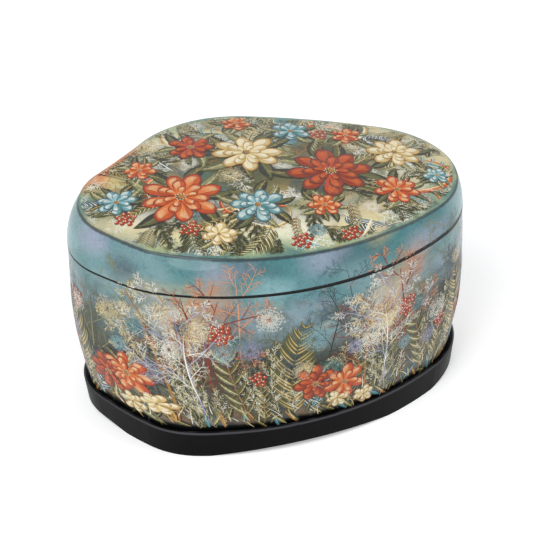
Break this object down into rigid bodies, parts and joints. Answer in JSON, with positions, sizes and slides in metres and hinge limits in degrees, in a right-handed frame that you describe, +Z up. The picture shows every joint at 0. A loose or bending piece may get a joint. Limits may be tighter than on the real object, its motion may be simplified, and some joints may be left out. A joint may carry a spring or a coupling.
{
  "type": "lacquer box",
  "caption": "Kidney-shaped papier-mache lacquer casket with a hinged domed lid, an inner collar and a black foot ring.",
  "frame": {"origin": "on the floor under the middle of the box", "axes": "+Z up, X along the long side, -Y towards the front"},
  "size_m": [0.1911, 0.1353, 0.1185],
  "materials": {
    "black_lacquer": "satin black lacquer over papier-mache",
    "painted_lacquer": "painted and clear lacquered papier-mache, glossy",
    "red_lacquer": "glossy red lacquer over papier-mache",
    "collar_lacquer": "glossy black lacquer over papier-mache",
    "hinge_brass": "brushed brass"
  },
  "bodies": {
    "base": {"plinth_skirt": "black_lacquer", "plinth_board": "black_lacquer", "body_wall": "painted_lacquer", "body_floor": "red_lacquer", "body_collar": "collar_lacquer", "hinge_leaf_body": "hinge_brass", "hinge_pin": "hinge_brass", "leaf_nails_body": "hinge_brass"},
    "lid": {"lid_wall": "painted_lacquer", "lid_top": "painted_lacquer", "hinge_leaf_lid": "hinge_brass", "leaf_nails_lid": "hinge_brass"}
  },
  "joints": [
    {"name": "lid_hinge", "type": "hinge", "parent": "base", "child": "lid", "pos_m": [0.02417, 0.06175, 0.09465], "axis": [-0.988, 0.1544, 0], "range_deg": [0, 100]}
  ]
}
